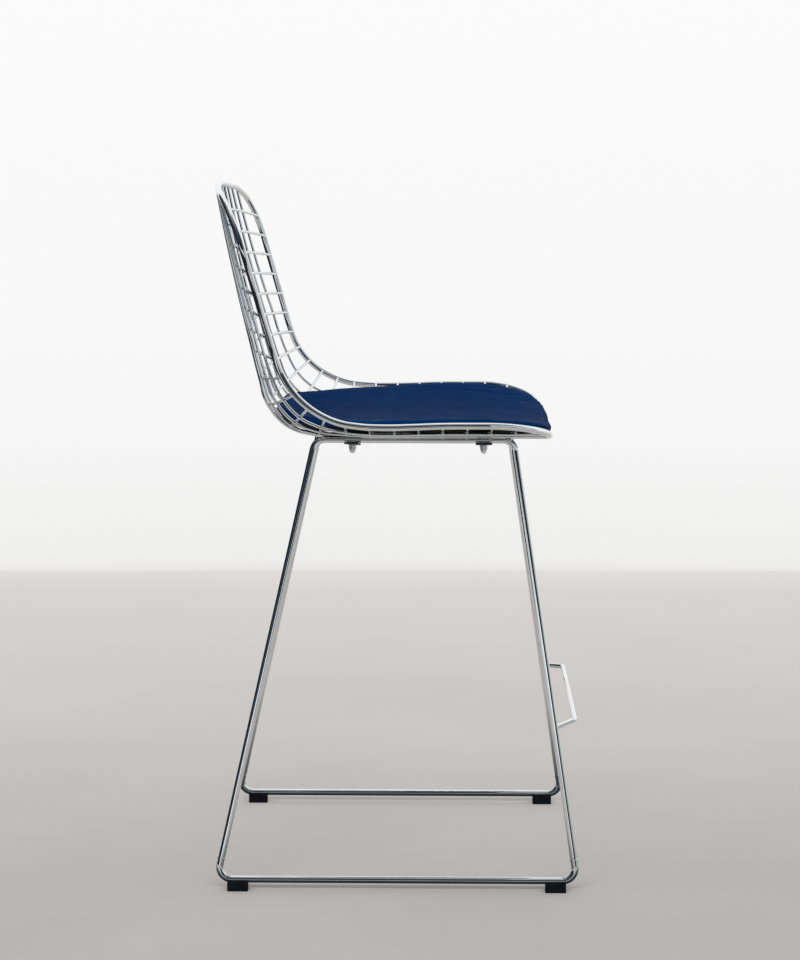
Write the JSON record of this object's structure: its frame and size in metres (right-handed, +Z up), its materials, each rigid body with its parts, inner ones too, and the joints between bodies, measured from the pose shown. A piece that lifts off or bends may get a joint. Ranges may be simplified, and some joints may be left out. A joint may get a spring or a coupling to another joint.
{
  "type": "bar stool",
  "caption": "Bar-height stool with a dished wire seat and back in one thick rim, a loose seat pad, two leaning sled side frames and a front footrest.",
  "frame": {"origin": "on the floor under the middle of the stool's outer box", "axes": "+Z up; the sitter faces -Y; +X is the sitter's left"},
  "size_m": [0.5502, 0.5731, 1.0866],
  "materials": {
    "chrome": "bright chrome plating",
    "clamp_steel": "zinc-plated steel fasteners",
    "foot_plastic": "matt black moulded plastic",
    "pad_leatherette": "dark blue leatherette, satin",
    "pad_underside": "black non-slip backing cloth",
    "pad_foam": "pale upholstery foam"
  },
  "bodies": {
    "root": {"clamp_bolts": "clamp_steel", "clamp_nuts": "clamp_steel", "clamp_plates": "clamp_steel", "clamp_saddles": "chrome", "clamp_washers": "clamp_steel", "crosswise_wire_01": "chrome", "crosswise_wire_02": "chrome", "crosswise_wire_03": "chrome", "crosswise_wire_04": "chrome", "crosswise_wire_05": "chrome", "crosswise_wire_06": "chrome", "crosswise_wire_07": "chrome", "crosswise_wire_08": "chrome", "crosswise_wire_09": "chrome", "crosswise_wire_10": "chrome", "crosswise_wire_11": "chrome", "crosswise_wire_12": "chrome", "crosswise_wire_13": "chrome", "crosswise_wire_14": "chrome", "crosswise_wire_15": "chrome", "crosswise_wire_16": "chrome", "crosswise_wire_17": "chrome", "crosswise_wire_18": "chrome", "crosswise_wire_19": "chrome", "footrest": "chrome", "front_cross_bar": "chrome", "front_left_foot": "foot_plastic", "front_right_foot": "foot_plastic", "left_leg_loop": "chrome", "left_runner": "chrome", "lengthwise_wire_left_1": "chrome", "lengthwise_wire_left_2": "chrome", "lengthwise_wire_left_3": "chrome", "lengthwise_wire_left_4": "chrome", "lengthwise_wire_left_5": "chrome", "lengthwise_wire_left_6": "chrome", "lengthwise_wire_right_1": "chrome", "lengthwise_wire_right_2": "chrome", "lengthwise_wire_right_3": "chrome", "lengthwise_wire_right_4": "chrome", "lengthwise_wire_right_5": "chrome", "lengthwise_wire_right_6": "chrome", "pad_base": "pad_underside", "pad_cover": "pad_leatherette", "pad_foam": "pad_foam", "rear_cross_bar": "chrome", "rear_left_foot": "foot_plastic", "rear_right_foot": "foot_plastic", "right_leg_loop": "chrome", "right_runner": "chrome", "seat_rim": "chrome", "weld_collars": "chrome"}
  },
  "joints": []
}
